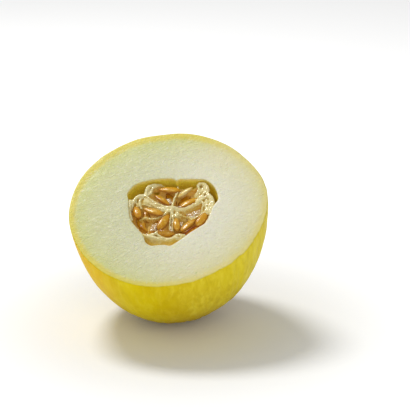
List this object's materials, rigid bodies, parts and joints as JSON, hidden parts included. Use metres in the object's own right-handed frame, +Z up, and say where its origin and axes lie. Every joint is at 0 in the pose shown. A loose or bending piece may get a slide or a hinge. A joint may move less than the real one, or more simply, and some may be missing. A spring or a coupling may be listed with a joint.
{
  "type": "half melon",
  "caption": "Half of a yellow winter melon, cut across its long axis and lying tilted on its rind, with the open seed cavity, soft pulp and seeds showing.",
  "frame": {"origin": "middle of the small flat spot on the rind that the half rests on", "axes": "+Z is up from the surface it rests on, the cut face looks up and towards -Y at 31.5 degrees from level, and +X is to the right as one looks along +Y"},
  "size_m": [0.135, 0.1344, 0.122],
  "materials": {
    "rind_and_flesh": "smooth waxy yellow rind over moist pale cream flesh",
    "seed_pulp": "soft wet cream pulp with thin glossy membranes",
    "seed_coat": "smooth wet amber seed coat"
  },
  "bodies": {
    "root": {"rind_and_flesh": "rind_and_flesh", "seed_pulp": "seed_pulp", "seed_01": "seed_coat", "seed_02": "seed_coat", "seed_03": "seed_coat", "seed_04": "seed_coat", "seed_05": "seed_coat", "seed_06": "seed_coat", "seed_07": "seed_coat", "seed_08": "seed_coat", "seed_09": "seed_coat", "seed_10": "seed_coat", "seed_11": "seed_coat", "seed_12": "seed_coat", "seed_13": "seed_coat", "seed_14": "seed_coat", "seed_15": "seed_coat", "seed_16": "seed_coat", "seed_17": "seed_coat", "seed_18": "seed_coat", "seed_19": "seed_coat", "seed_20": "seed_coat", "seed_21": "seed_coat"}
  },
  "joints": []
}
